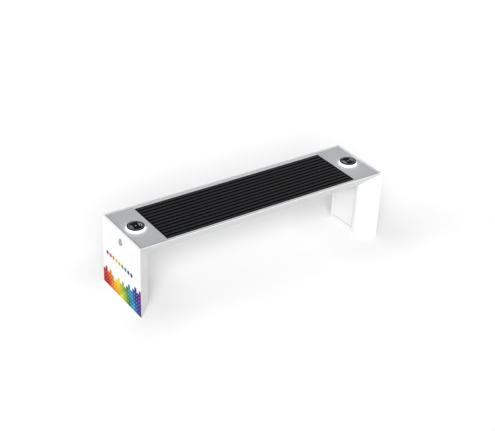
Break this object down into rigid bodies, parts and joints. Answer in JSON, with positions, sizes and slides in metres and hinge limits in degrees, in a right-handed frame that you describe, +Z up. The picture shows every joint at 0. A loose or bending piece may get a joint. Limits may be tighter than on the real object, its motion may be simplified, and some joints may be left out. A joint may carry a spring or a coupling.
{
  "type": "solar charging bench",
  "caption": "Inverted-U street bench in white coated steel with a flush solar deck, raised wireless charging pucks, capped sockets and service doors in the legs.",
  "frame": {"origin": "on the ground below the middle of the bench", "axes": "+X along the bench towards the control end, -Y is the front, +Z up"},
  "size_m": [1.8164, 0.468, 0.494],
  "materials": {
    "shell": "white powder coat, satin",
    "deck": "light grey matt powder coat",
    "bare_steel": "zinc-plated steel",
    "glass": "clear toughened cover glass",
    "cells": "near-black cell strips",
    "backsheet": "black backsheet",
    "sealant": "black sealant and foam",
    "black_plastic": "black moulded plastic",
    "copper": "enamelled copper winding",
    "socket_metal": "satin stainless steel",
    "battery_case": "blue moulded case",
    "strap": "woven strap",
    "controller_case": "dark anodised aluminium",
    "module_case": "plain aluminium",
    "breaker_case": "light grey moulded plastic",
    "lever": "blue moulded plastic",
    "cable_jacket": "black cable jacket",
    "diffuser": "white translucent diffuser, lit"
  },
  "bodies": {
    "bench": {"battery": "battery_case", "battery_cable": "cable_jacket", "battery_strap": "strap", "battery_tray": "bare_steel", "breaker_body": "breaker_case", "charge_controller": "controller_case", "corner_bracket_left": "bare_steel", "corner_bracket_right": "bare_steel", "deck_plate": "deck", "device_lead_left": "cable_jacket", "device_lead_right": "cable_jacket", "door_hinge_bracket_left": "bare_steel", "door_hinge_bracket_right": "bare_steel", "door_hinge_rod_left": "bare_steel", "door_hinge_rod_right": "bare_steel", "door_seal_left": "sealant", "door_seal_right": "sealant", "foot_plate_left": "bare_steel", "foot_plate_right": "bare_steel", "leg_shell_left": "shell", "leg_shell_right": "shell", "mount_plate": "bare_steel", "panel_backsheet": "backsheet", "panel_cell_sheet": "cells", "panel_glass": "glass", "panel_junction_box": "black_plastic", "panel_seal": "sealant", "power_module": "module_case", "puck_body_left": "black_plastic", "puck_body_right": "black_plastic", "puck_cap_left": "black_plastic", "puck_cap_right": "black_plastic", "puck_coil_left": "copper", "puck_coil_right": "copper", "puck_light_ring_left": "diffuser", "puck_light_ring_right": "diffuser", "puck_nut_left": "black_plastic", "puck_nut_right": "black_plastic", "seat_rib_left": "bare_steel", "seat_rib_middle": "bare_steel", "seat_rib_right": "bare_steel", "seat_shell": "shell", "socket_cap_pin_left": "bare_steel", "socket_cap_pin_right": "bare_steel", "socket_insert_left": "black_plastic", "socket_insert_right": "black_plastic", "socket_nut_left": "bare_steel", "socket_nut_right": "bare_steel", "socket_shell_left": "socket_metal", "socket_shell_right": "socket_metal", "solar_cable": "cable_jacket"},
    "door_left": {"door_panel_left": "shell", "door_lock_barrel_left": "socket_metal"},
    "door_right": {"door_panel_right": "shell", "door_lock_barrel_right": "socket_metal"},
    "lock_left": {"door_lock_plug_left": "bare_steel"},
    "lock_right": {"door_lock_plug_right": "bare_steel"},
    "flap_left": {"socket_cap_left": "socket_metal"},
    "flap_right": {"socket_cap_right": "socket_metal"},
    "lever": {"breaker_lever": "lever"}
  },
  "joints": [
    {"name": "door_left_hinge", "type": "hinge", "parent": "bench", "child": "door_left", "pos_m": [-0.802, 0, 0.042], "axis": [0, 1, 0], "range_deg": [0, 90]},
    {"name": "door_right_hinge", "type": "hinge", "parent": "bench", "child": "door_right", "pos_m": [0.802, 0, 0.042], "axis": [0, -1, 0], "range_deg": [0, 90]},
    {"name": "lock_left_turn", "type": "hinge", "parent": "door_left", "child": "lock_left", "pos_m": [-0.794, 0, 0.312], "axis": [1, 0, 0], "range_deg": [0, 90]},
    {"name": "lock_right_turn", "type": "hinge", "parent": "door_right", "child": "lock_right", "pos_m": [0.794, 0, 0.312], "axis": [-1, 0, 0], "range_deg": [0, 90]},
    {"name": "flap_left_hinge", "type": "hinge", "parent": "bench", "child": "flap_left", "pos_m": [-0.9056, 0, 0.4295], "axis": [0, 1, 0], "range_deg": [0, 110], "stiffness_Nm_per_rad": 0.02, "springref_deg": -28.65},
    {"name": "flap_right_hinge", "type": "hinge", "parent": "bench", "child": "flap_right", "pos_m": [0.9056, 0, 0.4295], "axis": [0, -1, 0], "range_deg": [0, 110], "stiffness_Nm_per_rad": 0.02, "springref_deg": -28.65},
    {"name": "breaker_toggle", "type": "hinge", "parent": "bench", "child": "lever", "pos_m": [0.8357, 0, 0.3], "axis": [0, -1, 0], "range_deg": [0, 68]}
  ]
}
